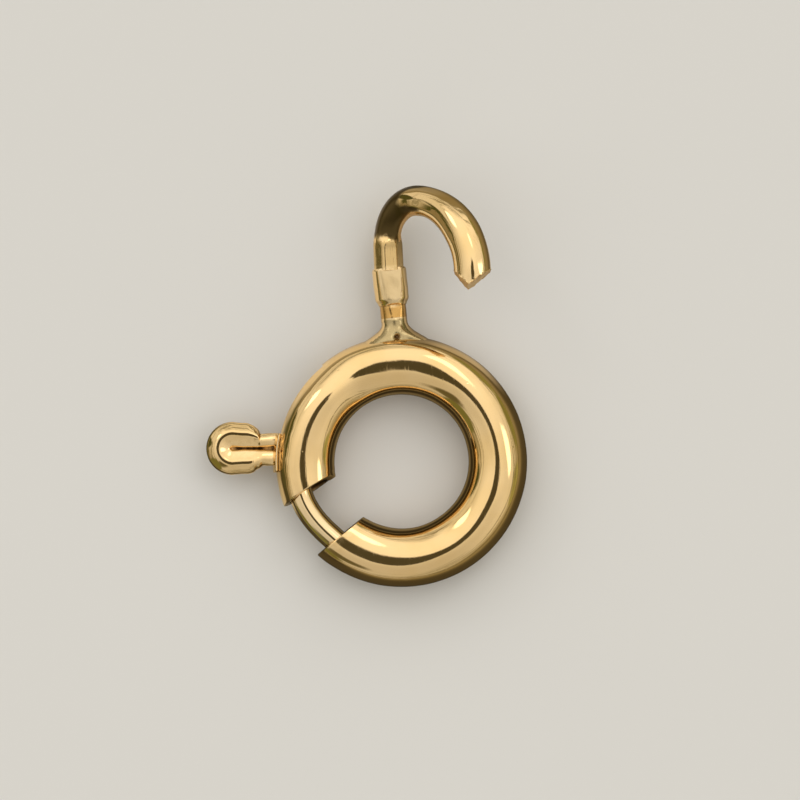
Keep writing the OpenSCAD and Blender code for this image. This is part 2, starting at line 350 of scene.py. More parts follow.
# %% Metal finishes that use the group
def metal(name, base, shade, roughness, scratches, depth):
    material = bpy.data.materials.new(name)
    material.use_nodes = True
    nodes, links = material.node_tree.nodes, material.node_tree.links
    shader = nodes["Principled BSDF"]
    shader.inputs["Metallic"].default_value = 1.0
    marks = add(nodes, "ShaderNodeGroup", node_tree=polish_marks)
    marks.inputs["Base"].default_value = (*base, 1)
    marks.inputs["Shade"].default_value = (*shade, 1)
    marks.inputs["Roughness"].default_value = roughness
    marks.inputs["Scratches"].default_value = scratches
    # The wear and the painted dark reflection are stored in the mesh.
    for layer, socket in (("wear", "Wear"), ("painted_dark", "Painted Dark")):
        stored = add(nodes, "ShaderNodeAttribute", "stored in the mesh", attribute_name=layer)
        links.new(stored.outputs["Fac"], marks.inputs[socket])
    bump = add(nodes, "ShaderNodeBump")
    bump.inputs["Strength"].default_value = 1.0
    bump.inputs["Distance"].default_value = depth
    links.new(marks.outputs["Color"], shader.inputs["Base Color"])
    links.new(marks.outputs["Roughness"], shader.inputs["Roughness"])
    links.new(marks.outputs["Height"], bump.inputs["Height"])
    links.new(bump.outputs["Normal"], shader.inputs["Normal"])
    return material


polished_gold = metal("polished_gold", (0.82, 0.585, 0.29), (0.77, 0.53, 0.23), 0.035, 0.5, 0.0000025)
pale_gold = metal("pale_gold", (0.86, 0.66, 0.38), (0.80, 0.58, 0.30), 0.05, 0.4, 0.000002)
torn_gold = metal("torn_gold", (1.0, 0.70, 0.36), (0.87, 0.54, 0.23), 0.42, 1.0, 0.00003)
spring_metal = metal("spring_metal", (0.55, 0.54, 0.51), (0.42, 0.40, 0.37), 0.25, 0.6, 0.000002)
pressed_gold = metal("pressed_gold", (0.69, 0.52, 0.285), (0.54, 0.39, 0.18), 0.25, 1.0, 0.000012)
# Painted shade: a darker, more orange gold for the narrow neck between foot and grip, for the shade and orange
# inter-reflections in that recess.
neck_shade_gold = metal("neck_shade_gold", (0.60, 0.35, 0.11), (0.46, 0.25, 0.06), 0.16, 0.8, 0.000006)
drawn_gold = metal("drawn_gold", (0.63, 0.44, 0.195), (0.50, 0.34, 0.13), 0.13, 1.0, 0.000008)
# Painted shade: a dark brown gold laid on the tube's bore, the casting pit and the lever's slit, for the shade deep
# in these hollows, and in the slit for its dirt as well.
painted_shade_gold = metal("painted_shade_gold", (0.13, 0.07, 0.025), (0.07, 0.04, 0.015), 0.38, 1.0, 0.00001)
cast_gold = metal("cast_gold", (0.45, 0.345, 0.175), (0.33, 0.25, 0.115), 0.2, 1.0, 0.000014)
print("finishes:", [m.name for m in bpy.data.materials if m.users])

# %% [markdown]
# ## The ring
# The ring is thin tube bent to a circle and sawn out on one side. Two tubes, one inside the other, are
# swept along the same arc and joined at both ends, so that the wall shows in the gap. The cuts aren't
# square: the end points slide along the ring by how far out and how far up they are. A slot for the
# lever is opened by taking out faces of both tubes and closing its four sides.

# %% Where the ring's points lie
RING_SIDES = 96
CUT_REACH = 14
UPPER_SKEW = math.tan(math.radians(15))
UPPER_LEAN = -math.tan(math.radians(6))
LOWER_SKEW = math.tan(math.radians(-11))
# Bending leaves the tube's crown rolled outwards near its sawn ends, and flatter in some places
CROWN_ROLL = [(-129.5, 4.5), (-95, 5), (-55, 6.5), (-25, 1), (20, -2), (50, -2), (90, 0.8), (120, 2),
              (150, 4.5), (185, 4.5), (197.5, 4.5)]
CROWN_FLAT = [(-129.5, 0.52), (-95, 0.42), (-60, -0.2), (-20, 0.0), (10, -0.35), (45, -0.1), (75, 0.45),
              (100, 0.45), (128, -0.4), (160, 0.1), (185, 0.3), (197.5, 0.3)]
# A shallow dent near the post: the crown dips before it and stands a little high behind it
CROWN_RISE = [(74, 0.0), (115, -0.045), (143, 0.055), (188, 0.0)]


def crown(angle, a, b):
    """How much the upper side of the tube is lifted at a place across it."""
    if b <= 0:
        return 0
    share = (b / math.hypot(a, b)) ** 2
    roll = math.tan(math.radians(table_value(CROWN_ROLL, angle)))
    bulge = roll * a + table_value(CROWN_FLAT, angle) * a * a / (2 * TUBE_R)
    return share * (bulge + table_value(CROWN_RISE, angle))


def ring_point(angle, radius, turn):
    """A point of the tube's skin, with the slide of the two skewed cuts near its ends."""
    a, b = round_section(radius, turn)
    if radius > BORE_R:
        b += crown(angle, a, b)
    low = 1 - eased(LOWER_CUT, LOWER_CUT + CUT_REACH, angle)
    high = eased(UPPER_CUT - CUT_REACH, UPPER_CUT, angle)
    slide = low * a * LOWER_SKEW + high * (a * UPPER_SKEW + b * UPPER_LEAN)
    inner_tip = math.exp(-((turn - 0.47) * 22) ** 2) * eased(UPPER_CUT - 1.2, UPPER_CUT, angle)
    slide += 0.07 * inner_tip
    return on_circle(RING_R + a, angle) + UP * b + direction(angle + 90) * slide


def edge_rounding(angle, width=0.025):
    """How much the skin draws in at a sawn end, whose edge is rounded by polishing."""
    distance = math.radians(min(angle - LOWER_CUT, UPPER_CUT - angle)) * RING_R
    share = 1 - min(distance / width, 1)
    return width * (1 - math.sqrt(1 - share * share))


def fingered(angle, turn):
    """How much of the flank above the lever is dented by fingernails."""
    flank = eased(0.065, 0.095, turn) * (1 - eased(0.15, 0.20, turn))
    return flank * eased(138, 158, angle) * (1 - eased(186, 194, angle))


end_step = math.degrees(0.006 / RING_R)
ring_angles = ([LOWER_CUT, LOWER_CUT + end_step, LOWER_CUT + 3 * end_step]
               + steps(LOWER_CUT + 5 * end_step, SLOT_FROM, 170)
               + steps(SLOT_FROM, SLOT_TO, 32)[1:]
               + steps(SLOT_TO, UPPER_CUT - 5 * end_step, 16)[1:]
               + [UPPER_CUT - 3 * end_step, UPPER_CUT - end_step, UPPER_CUT])
print("ring stations:", len(ring_angles))

# %% Sweep both skins and join them
def ring_skin(bm, radius, outer):
    origin = Vector((0, 0, 0))
    stations = [(angle, origin, UP, UP) for angle in ring_angles]
    first, last = swept(bm, RING_SIDES, stations, lambda share, turn: (0, 0))
    turn = bm.verts.layers.float["turn"]
    along = bm.verts.layers.float["along"]
    skin = bm.verts.layers.float.get("skin") or bm.verts.layers.float.new("skin")
    for point in bm.verts:
        if point.co.length == 0:
            angle = point[along]
            size = radius
            if outer:
                size -= edge_rounding(angle)
                place = ring_point(angle, radius, point[turn])
                size += hand_worn(place, 0.9, 0.006) + fingered(angle, point[turn]) * hand_worn(place, 0.2, 0.007)
            point.co = ring_point(angle, size, point[turn])
            point[skin] = radius


ring_bm = bmesh.new()
ring_skin(ring_bm, TUBE_R, True)
ring_skin(ring_bm, BORE_R, False)
turn_layer = ring_bm.verts.layers.float["turn"]
along_layer = ring_bm.verts.layers.float["along"]
for sawn in (ring_angles[0], ring_angles[-1]):
    rim = [e for e in ring_bm.edges if e.is_boundary and abs(e.verts[0][along_layer] - sawn) < 0.01]
    bmesh.ops.bridge_loops(ring_bm, edges=rim)
print("ring skins:", len(ring_bm.faces), "faces")

# %% Open the lever's slot
def in_slot(face):
    angles = [v[along_layer] for v in face.verts]
    height = [min(v[turn_layer], 1 - v[turn_layer]) * 360 for v in face.verts]
    return min(angles) > SLOT_FROM - 0.01 and max(angles) < SLOT_TO + 0.01 and max(height) < 21


bmesh.ops.delete(ring_bm, geom=[f for f in ring_bm.faces if in_slot(f)], context="FACES")
slot_edges = [e for e in ring_bm.edges if e.is_boundary]
bmesh.ops.bridge_loops(ring_bm, edges=slot_edges)
skin_layer = ring_bm.verts.layers.float["skin"]
# The bore's faces get the dark gold: painted shade inside the tube.
for face in ring_bm.faces:
    if max(v[skin_layer] for v in face.verts) < BORE_R + 0.01:
        face.material_index = 1
ring_tube = finished(ring_bm, "ring_tube", [polished_gold, painted_shade_gold], "ring", ["clasp_body"])

# %% [markdown]
# ## The stop for the spring
# A small plug fills the tube where the spring starts. Nobody sees it, so it is a plain disc.

# %% The plug in the tube
STOP_ANGLE = 20
stop_bm = bmesh.new()
plug_stations = [(angle, on_circle(RING_R, angle), direction(angle), UP)
                 for angle in (STOP_ANGLE - 5, STOP_ANGLE - 2.5, STOP_ANGLE)]
swept(stop_bm, 32, plug_stations, lambda share, turn: round_section(BORE_R + 0.02, turn))
closed_ends(stop_bm)
spring_stop = finished(stop_bm, "spring_stop", [polished_gold], "ring")

# %% [markdown]
# ## Foot, neck and grip
# The post that carries the hook was cast flat on its front and back, with a foot that spreads over the
# tube and a grip that was squeezed flat. It is one sweep from the tube upwards. Each ring of points
# gets its own height, so that the lowest ring follows the tube's round back, and a soft limit on the
# thickness makes the flats.

# %% Sizes and shape of the post
POST_LEAN = 6
post_up = direction(90 + POST_LEAN)
post_across = direction(POST_LEAN)
post_start = on_circle(RING_R, POST_ANGLE)
NECK_R = 0.31
GRIP_R = 0.41
FOOT_TOP = 1.04
GRIP_FROM = 1.46
GRIP_TO = 2.34
FOOT_FLAT = 0.40
GRIP_FLAT = 0.335
FLAT_TURN, FLAT_LEAN, NECK_TURN = 0.10, 0.09, 0.10
# A casting pit in the foot's front
PIT_ACROSS, PIT_HEIGHT, PIT_R, PIT_DEPTH = 0.030, 0.68, 0.062, 0.11
# The neck keeps a shallow oval mark of the tool
DIMPLE_ACROSS, DIMPLE_HEIGHT, DIMPLE_DEPTH = -0.03, 1.27, 0.005
# Half the thickness between the flats: thinner at the neck, full at the grip
POST_FLATS = [(FOOT_TOP, 0.30), (FOOT_TOP + 0.08, 0.235), (GRIP_FROM - 0.02, 0.235), (GRIP_FROM + 0.04, GRIP_FLAT)]


def tube_height(a, b):
    """How high the tube's skin stands along the post at a point beside the post's axis."""
    low, high = 0.0, 1.0
    for _ in range(24):
        h = (low + high) / 2
        p = post_start + post_across * a + post_up * h
        outside = (math.hypot(p.x, p.y) - RING_R) ** 2 + b * b > TUBE_R ** 2
        low, high = (low, h) if outside else (h, high)
    return low


def post_radius(h):
    table = [(FOOT_TOP, NECK_R), (GRIP_FROM - 0.03, NECK_R + 0.005), (GRIP_FROM, NECK_R + 0.03),
             (GRIP_FROM + 0.15, GRIP_R - 0.01), (GRIP_FROM + 0.4, GRIP_R), (GRIP_TO - 0.05, GRIP_R),
             (GRIP_TO, GRIP_R - 0.03)]
    return table_value(table, h)


print("tube top under the post:", round(tube_height(0, 0), 3), "mm above its middle")

# %% Sweep the post
def foot_point(share, turn):
    """The foot: share 0 on the tube and 1 at the neck, spreading in a hollow curve."""
    a, b = round_section(1, turn)
    spread = 0.40 if a > 0 else 0.36
    spur = 0.10 * math.exp(-((turn - 0.43) * 16) ** 2) * (1 - share) ** 5
    reach = NECK_R + spread * abs(a) * (1 - share) ** 2.3 + 0.12 * (1 - share) ** 2.3 + spur
    a = a * reach
    front = between(FOOT_FLAT - 0.02, 0.33, share ** 2)
    b = soft_limit(b * reach, front - a * FLAT_TURN)
    low = tube_height(a, b) - 0.03
    height = between(low, FOOT_TOP, share)
    dent = hand_worn(Vector((a, b, height)) + UP * 7, 0.2, 0.022)
    if b > 0:
        b -= PIT_DEPTH * math.exp(-((a - PIT_ACROSS) ** 2 + (height - PIT_HEIGHT) ** 2) / PIT_R ** 2)
    return a * (1 + dent), b * (1 + dent), height


def post_point(h, turn):
    radius = post_radius(h)
    burr = 0.045 * eased(GRIP_TO - 0.06, GRIP_TO - 0.02, h) * (1 - eased(GRIP_TO - 0.01, GRIP_TO, h))
    a, b = round_section(radius + burr * noise.noise(Vector((turn * 30, h, 0))), turn)
    turned = FLAT_TURN + NECK_TURN * (1 - eased(GRIP_FROM - 0.06, GRIP_FROM, h))
    flat = table_value(POST_FLATS, h) - a * turned - (h - 1.9) * FLAT_LEAN
    uneven = hand_worn(Vector((a, b, h)) + UP * 3, 0.3, 0.008)
    b = soft_limit(b, flat, 20) + uneven * 0.5
    if b > 0:
        b -= DIMPLE_DEPTH * math.exp(-((a - DIMPLE_ACROSS) / 0.11) ** 4 - ((h - DIMPLE_HEIGHT) / 0.085) ** 4)
    return a + uneven, b, h


post_bm = bmesh.new()
foot_shares = [(share, "foot") for share in steps(0, 1, 44)]
post_heights = [(h, "post") for h in steps(FOOT_TOP, GRIP_TO, 64)[1:]]
origin = Vector((0, 0, 0))
swept(post_bm, 96, [(number, origin, UP, UP) for number in range(len(foot_shares + post_heights))],
      lambda share, turn: (0, 0))
post_turn = post_bm.verts.layers.float["turn"]
post_along = post_bm.verts.layers.float["along"]
for point in post_bm.verts:
    value, part = (foot_shares + post_heights)[round(point[post_along])]
    shape = foot_point if part == "foot" else post_point
    a, b, h = shape(value, point[post_turn])
    point.co = post_start + post_across * a + UP * b + post_up * h
closed_ends(post_bm)
post_bm.normal_update()
NECK_FIRST, NECK_LAST = len(foot_shares) + 3, len(foot_shares) + 20
for face in post_bm.faces:
    rings = [v[post_along] for v in face.verts]
    off_pit = face.calc_center_median() - post_start
    # Faces in the casting pit get the dark gold: painted shade in the pit.
    if off_pit.z > 0 and math.hypot(off_pit.dot(post_across) - PIT_ACROSS, off_pit.dot(post_up) - PIT_HEIGHT) < PIT_R:
        face.material_index = 3
    # The neck's faces get the darker orange gold: painted shade in the recess between foot and grip.
    elif NECK_FIRST < min(rings) and max(rings) < NECK_LAST:
        face.material_index = 2
    elif max(rings) < NECK_FIRST and abs(face.normal.z) > 0.6:
        face.material_index = 4
    elif abs(face.normal.z) > 0.86 and len(face.verts) == 4:
        face.material_index = 1
post = finished(post_bm, "hook_post", [polished_gold, pressed_gold, neck_shade_gold, painted_shade_gold, cast_gold],
                "ring")

# %% [markdown]
# ## The hook
# The hook is one length of round wire. Pliers pinched it at the first bend and left flats on the
# straight part, and it was nipped off at the end. The path is a straight and two arcs in a plane that
# rises towards the viewer on the right. The sweep follows the path, and two slanting cuts make the tip.

# %% The hook's path
HOOK_LEAN = 2.5
HOOK_TILT = 40
STEM = 0.64
BEND_R, BEND_TURN = 0.92, 95
WIDE_R, WIDE_TURN = 1.73, 99
hook_place = (Matrix.Translation(post_start + post_up * GRIP_TO)
              @ Matrix.Rotation(math.radians(HOOK_LEAN), 4, "Z")
              @ Matrix.Rotation(math.radians(-HOOK_TILT), 4, "Y"))
bend_length = math.radians(BEND_TURN) * BEND_R
wide_length = math.radians(WIDE_TURN) * WIDE_R
hook_length = STEM + bend_length + wide_length


def hook_at(distance):
    """Where the wire's middle is at a distance along it, and its heading from +Y, in the hook's plane."""
    if distance < STEM:
        return 0, distance, 0
    if distance < STEM + bend_length:
        heading = (distance - STEM) / BEND_R
        return BEND_R * (1 - math.cos(heading)), STEM + BEND_R * math.sin(heading), heading
    first = math.radians(BEND_TURN)
    heading = first + (distance - STEM - bend_length) / WIDE_R
    x = BEND_R * (1 - math.cos(first)) + WIDE_R * (math.cos(first) - math.cos(heading))
    y = STEM + BEND_R * math.sin(first) + WIDE_R * (math.sin(heading) - math.sin(first))
    return x, y, heading


# The wire climbs out of the grip a little faster than its plane does
HOOK_LIFT = [(0.4, 0.0), (1.35, 0.12), (3.0, 0.0)]


def hook_station(distance):
    x, y, heading = hook_at(distance)
    turned = hook_place.to_3x3()
    out = turned @ Vector((-math.cos(heading), math.sin(heading), 0))
    middle = hook_place @ Vector((x, y, 0)) + UP * table_value(HOOK_LIFT, distance)
    return distance / hook_length, middle, out, turned @ UP


print("hook wire:", round(hook_length, 2), "mm long")

# %% The hook's section
HOOK_RADII = [(0.0, 0.355), (0.10, 0.352), (0.17, 0.315), (0.45, 0.362), (0.75, 0.435), (1.0, 0.44)]
# Each flat: the way it faces round the wire, its depth, and where it starts and ends
FLATS = [(143, 0.034, -0.1, 0.11), (86, 0.021, -0.1, 0.115), (190, 0.026, -0.1, 0.12), (250, 0.02, -0.1, 0.2),
         (96, 0.010, 0.46, 0.75), (25, 0.010, 0.40, 0.9)]
# The straight part kept the duller skin of drawn wire, up to here
STEM_END = 0.125
# The first bend is pinched on the side that shows from above: how far up the section still reaches
PINCH_HEIGHT, PINCH_SHARPNESS = 0.80, 7


def pinched(share):
    """How much of the pinch is there: it comes quickly above the stem and fades round the bend."""
    return eased(0.10, 0.165, share) * (1 - eased(0.29, 0.47, share))


def upper_side(share):
    """Which way round the wire its upper side faces, in degrees."""
    heading = hook_at(share * hook_length)[2]
    tilt = math.radians(HOOK_TILT)
    return math.degrees(math.atan2(math.cos(tilt), -math.cos(heading) * math.sin(tilt)))


def hook_section(share, turn):
    radius = table_value(HOOK_RADII, share)
    angle = 360 * turn
    for middle, depth, start, end in FLATS:
        amount = depth * eased(start - 0.05, start + 0.03, share) * (1 - eased(end - 0.02, end + 0.03, share))
        off = math.radians((angle - middle + 180) % 360 - 180)
        if abs(off) < 1.2 and amount > 0:
            flat = (table_value(HOOK_RADII, share) - amount) / math.cos(off)
            soft = max(0.012 - abs(radius - flat), 0)
            radius = min(radius, flat) - soft * soft / 0.048
    a, b = round_section(radius, turn)
    upper = math.radians(upper_side(share))
    height = a * math.cos(upper) + b * math.sin(upper)
    if height > 0:
        held = soft_limit(height, PINCH_HEIGHT * table_value(HOOK_RADII, share), PINCH_SHARPNESS)
        drop = (held - height) * pinched(share)
        a, b = a + drop * math.cos(upper), b + drop * math.sin(upper)
    uneven = hand_worn(Vector((a, b, share * 6)), 0.45, 0.007)
    return a * (1 + uneven), b * (1 + uneven)


# Where the painted dark reflection on the first bend ends, by how far round the wire from its upper side, outwards
# positive
DARK_REFLECTION_END = [(-70, 0.48), (-38, 0.475), (-20, 0.40), (0, 0.347), (18, 0.338), (38, 0.37), (60, 0.45), (90, 0.55)]
DARK_REFLECTION_START = [(-60, 0.118), (-15, 0.124), (5, 0.150), (40, 0.140)]


def painted_dark_reflection(share, turn):
    """How dark the skin is painted where a dark part of the room is mirrored on the first bend: a painted dark
    reflection, on its upper side only.
    """
    round_wire = (upper_side(share) - 360 * turn + 180) % 360 - 180
    end = table_value(DARK_REFLECTION_END, round_wire)
    start = table_value(DARK_REFLECTION_START, round_wire) + 0.012 * noise.noise(Vector((turn * 25, share * 40, 0)))
    along_it = eased(start - 0.008, start + 0.014, share) * (1 - eased(end - 0.014, end + 0.024, share))
    return along_it * eased(-56, -46, round_wire) * (1 - eased(85, 120, round_wire))


# %% Sweep the hook and nip off its tip
TIP_IN, TIP_OUT, TIP_RAKE, TIP_SHIFT = 49, 37, 8, 0.08
hook_bm = bmesh.new()
hook_stations = [hook_station(d) for d in steps(-0.06, hook_length + 0.1, 150)]
swept(hook_bm, 96, hook_stations, hook_section)
hook_turn, hook_along = hook_bm.verts.layers.float["turn"], hook_bm.verts.layers.float["along"]
# The first bend's upper side gets a painted dark reflection, stored in the mesh from 0 to 1.
painted_dark = hook_bm.verts.layers.float.new("painted_dark")
for point in hook_bm.verts:
    point[painted_dark] = painted_dark_reflection(point[hook_along], point[hook_turn])
closed_ends(hook_bm)
end_x, end_y, _ = hook_at(hook_length)
tilt = math.radians(HOOK_TILT)
ridge = (Matrix.Translation(post_start + post_up * GRIP_TO) @ Matrix.Rotation(math.radians(HOOK_LEAN), 4, "Z")
         @ Vector((end_x * math.cos(tilt) - TIP_SHIFT, end_y, end_x * math.sin(tilt))))
rake = Matrix.Rotation(math.radians(-TIP_RAKE), 3, "X")
tip_along = hook_bm.verts.layers.float["along"]
for slope, side in ((TIP_IN, -1), (TIP_OUT, 1)):
    slant = math.radians(slope)
    facing = rake @ Vector((side * math.sin(slant), -math.cos(slant), 0))
    tip_faces = [f for f in hook_bm.faces if all(v[tip_along] > 0.8 for v in f.verts)]
    near_tip = tip_faces + list({e for f in tip_faces for e in f.edges} | {v for f in tip_faces for v in f.verts})
    bmesh.ops.bisect_plane(hook_bm, geom=near_tip, plane_co=ridge, plane_no=facing, clear_outer=True)
    print("after a nip:", len(hook_bm.faces), "faces")
    for face in closed_ends(hook_bm):
        face.material_index = 1
torn_edges = [e for e in hook_bm.edges if len(e.link_faces) == 2 and all(v[tip_along] > 0.8 for v in e.verts)
              and {f.material_index for f in e.link_faces} == {0, 1}]
bmesh.ops.bevel(hook_bm, geom=torn_edges, offset=0.016, affect="EDGES", segments=2, profile=0.5, material=1)
torn = {v for f in hook_bm.faces if f.material_index == 1 for v in f.verts}
for point in torn:
    point.co += noise.noise_vector(point.co / 0.075) * 0.030
print("rounded edges at the tip:", len(torn_edges))
for face in hook_bm.faces:
    middle = face.calc_center_median()
    notch = STEM_END + 0.012 * noise.noise(middle / 0.09)
    share = sum(v[tip_along] for v in face.verts) / len(face.verts)
    inward = [(upper_side(v[tip_along]) - 360 * v[hook_turn] + 180) % 360 - 180 for v in face.verts]
    if face.material_index == 0 and share < notch:
        face.material_index = 2
    elif share < 0.45 and -96 < min(inward) and max(inward) < -50:
        face.material_index = 1
hook = finished(hook_bm, "hook_wire", [polished_gold, torn_gold, drawn_gold], "ring")

# %% [markdown]
# ## The bolt
# The bolt's head fills the bore and its thinner tongue closes the gap. Both are swept along the ring,
# the tongue a little nearer the outside, because it rides on the outer wall of the tube.

# %% Sweep the bolt
BOLT_SLACK = [(185, 2.52), (200, 2.53), (229, 2.455), (240, 2.46)]


def bolt_station(angle, radius):
    return radius, on_circle(table_value(BOLT_SLACK, angle), angle), direction(angle), UP


bolt_bm = bmesh.new()
tongue_stations = [bolt_station(a, 0.29) for a in steps(183, 236.8, 60)]
tongue_stations += [bolt_station(237.4, 0.283), bolt_station(237.8, 0.265), bolt_station(239.9, 0.16)]
swept(bolt_bm, 64, tongue_stations, round_section)
head_stations = [(r, on_circle(RING_R, a), direction(a), UP)
                 for a, r in [(158.4, 0.15), (158.6, 0.18), (162.7, 0.18), (162.8, 0.47), (163.4, 0.51)]
                 + [(a, 0.51) for a in steps(164, 184, 16)] + [(184.6, 0.51), (185.2, 0.47)]]
swept(bolt_bm, 64, head_stations, round_section)
closed_ends(bolt_bm)
bolt = finished(bolt_bm, "bolt_tongue", [pale_gold], "slider", ["bolt"])

# %% [markdown]
# ## The lever
# The lever is a wire folded double and pressed in a die. The fold makes a rounded head with a slit down
# its middle. Each side has a ridge: outside it the face falls away to the edge, and inside it slopes
# down to the slit. The section is swept round the fold, from one leg to the other, and a subdivision
# surface rounds it as the die did.

# %% The lever's pressed section
LEVER_START = on_circle(RING_R + TUBE_R, LEVER_ANGLE)
lever_out = direction(LEVER_ANGLE + 6)
lever_side = direction(LEVER_ANGLE + 6 + 90)
HEAD_X = 1.05
HEAD_W = 0.59
# Width of the wire on each side by distance from the ring: sheared square above, bent smoothly below
UPPER_W = [(0.0, 0.32), (0.385, 0.33), (0.425, 0.42), (0.46, 0.455), (0.56, 0.53), (0.70, HEAD_W)]
LOWER_W = [(0.0, 0.37), (0.30, 0.38), (0.44, 0.47), (0.58, 0.57), (0.68, HEAD_W)]
# Half the seam where the two legs meet in the slit, and how much the rounding below draws it back
SLIT_FLOOR, ROUNDING_GAIN = 0.0015, 1.2
# The legs get thinner towards the ring
LEG_SLOPE = [(0.0, 0.70), (0.44, 1.0)]
HEAD_FACE = [(0.0, 0.008), (0.0, 0.050), (0.035, 0.105), (0.16, 0.132), (0.30, 0.165), (0.41, 0.203), (0.46, 0.214),
             (0.60, 0.216), (0.65, 0.206), (0.76, 0.165), (0.91, 0.095), (0.98, 0.05), (1.0, 0.015)]
LEG_FACE = [(0.0, 0.008), (0.0, 0.05), (0.06, 0.110), (0.18, 0.145), (0.30, 0.165), (0.42, 0.176), (0.49, 0.178),
            (0.56, 0.178), (0.64, 0.172), (0.76, 0.152), (0.90, 0.105), (0.98, 0.06), (1.0, 0.02)]
LEVER_SIDES = 2 * len(HEAD_FACE)


def lever_section(station, turn):
    """A point of the section: up the front from the slit to the outer edge, and back along the rear."""
    width, headness, slit, slope = lever_stations[station][0]
    number = int(turn * LEVER_SIDES)
    front = number < len(HEAD_FACE)
    row = number if front else LEVER_SIDES - 1 - number
    across = between(LEG_FACE[row][0], HEAD_FACE[row][0], headness) * width
    height = between(LEG_FACE[row][1], HEAD_FACE[row][1], headness)
    if row == 0:
        across = (SLIT_FLOOR - slit) * ROUNDING_GAIN
    height *= slope
    return across, height if front else -height


# %% Stations round the fold
def half_slit(x):
    """Half the width of the slit: open by the ring, tight in the neck, with a small eye in the head."""
    table = [(0.0, 0.050), (0.16, 0.040), (0.36, 0.022), (0.86, 0.022), (0.96, 0.034), (1.05, 0.038)]
    return table_value(table, x)


def lever_station(x, side):
    width = table_value(UPPER_W if side > 0 else LOWER_W, x)
    headness = eased(*((0.39, 0.44) if side > 0 else (0.30, 0.62)), x)
    origin = LEVER_START + lever_out * x + lever_side * half_slit(x) * -side
    return (width, headness, half_slit(x), table_value(LEG_SLOPE, x)), origin, lever_side * -side, UP


def fold_station(angle):
    out = lever_out * math.cos(math.radians(angle)) + lever_side * math.sin(math.radians(angle))
    origin = LEVER_START + lever_out * HEAD_X + out * half_slit(HEAD_X)
    return (HEAD_W + 0.01, 1.0, half_slit(HEAD_X), 1.0), origin, out, UP


straight = [-0.12, -0.02, 0.08, 0.18, 0.26, 0.33, 0.37, 0.39, 0.41, 0.425, 0.44, 0.46, 0.50, 0.54, 0.60,
            0.66, 0.74, 0.84, 0.94, 1.0]
lever_stations = [lever_station(x, 1) for x in straight]
lever_stations += [fold_station(a) for a in steps(-90, 90, 16)]
lever_stations += [lever_station(x, -1) for x in reversed(straight)]
print("lever stations:", len(lever_stations))

# %% Sweep and round the lever
lever_bm = bmesh.new()
swept(lever_bm, LEVER_SIDES, [(i, *s[1:]) for i, s in enumerate(lever_stations)], lever_section)
closed_ends(lever_bm)
lever_turn = lever_bm.verts.layers.float["turn"]
# The faces deep in the slit get the dark gold: painted shade where the two legs meet, with the slit's dirt.
for face in lever_bm.faces:
    rows = [int(v[lever_turn] * LEVER_SIDES) for v in face.verts]
    if all(row < 2 or row > LEVER_SIDES - 3 for row in rows):
        face.material_index = 1
lever = finished(lever_bm, "lever_wire", [polished_gold, painted_shade_gold], "slider", ["lever"], hard_edge=180)
rounding = lever.modifiers.new("pressed_round", "SUBSURF")
rounding.levels = rounding.render_levels = 2

# %% [markdown]
# ## Saddle and pin
# A thin plate, bent to the tube, keeps the lever square to the ring. It starts as a flat grid, is laid
# on the tube's side, and gets its thickness with solidify. The pin that draws the bolt is hidden in
# the tube.

# %% Lay the saddle on the tube
SADDLE_R = TUBE_R + 0.02
SADDLE_HALF = math.degrees(0.47 / (RING_R + TUBE_R))
saddle_bm = bmesh.new()
bmesh.ops.create_grid(saddle_bm, x_segments=28, y_segments=20, size=1)
for point in saddle_bm.verts:
    angle = LEVER_ANGLE + 2 + point.co.x * SADDLE_HALF
    lift = math.radians(26) * point.co.y
    corner = 0.04 * (abs(point.co.x * point.co.y)) ** 8
    point.co = (on_circle(RING_R + SADDLE_R * math.cos(lift), angle - math.copysign(corner * 20, point.co.x))
                + UP * SADDLE_R * math.sin(lift) * (1 - corner))
bmesh.ops.recalc_face_normals(saddle_bm, faces=saddle_bm.faces)
saddle_bm.normal_update()
if saddle_bm.faces[:][0].normal.dot(direction(LEVER_ANGLE)) > 0:
    bmesh.ops.reverse_faces(saddle_bm, faces=saddle_bm.faces)
bmesh.ops.solidify(saddle_bm, geom=saddle_bm.faces[:], thickness=0.06)
print("saddle reaches", round(max(math.hypot(v.co.x, v.co.y) for v in saddle_bm.verts), 3), "mm from the middle")
saddle_edges = [e for e in saddle_bm.edges if len(e.link_faces) == 2 and e.calc_face_angle() > 1.0]
bmesh.ops.bevel(saddle_bm, geom=saddle_edges, offset=0.012, affect="EDGES", segments=2, profile=0.5, material=-1)
saddle = finished(saddle_bm, "lever_saddle", [pale_gold], "slider")

# %% The pin
pin_bm = bmesh.new()
swept(pin_bm, 32, [(0.17, on_circle(r, LEVER_ANGLE), direction(LEVER_ANGLE + 90), UP)
                   for r in (2.18, 2.5, 2.8, 3.04)], round_section)
closed_ends(pin_bm)
pin = finished(pin_bm, "lever_pin", [polished_gold], "slider")

# %% [markdown]
# ## The spring
# The spring is a coil of thin wire in the bore. It is swept along a helix that is itself bent to the
# ring.

# %% Wind the spring
SPRING_WIRE = 0.13
SPRING_TURNS = 22
COIL_R = BORE_R - 0.10 - SPRING_WIRE / 2
SPRING_FROM, SPRING_TO = 22.2, 160.7


def coil_middle(share):
    angle = between(SPRING_FROM, SPRING_TO, share)
    phase = 2 * math.pi * SPRING_TURNS * share
    return on_circle(RING_R + COIL_R * math.cos(phase), angle) + UP * COIL_R * math.sin(phase)


def coil_station(share):
    angle = between(SPRING_FROM, SPRING_TO, share)
    phase = 2 * math.pi * SPRING_TURNS * share
    heading = (coil_middle(share + 0.0002) - coil_middle(share - 0.0002)).normalized()
    out = direction(angle) * math.cos(phase) + UP * math.sin(phase)
    return share, coil_middle(share), out, heading.cross(out).normalized()


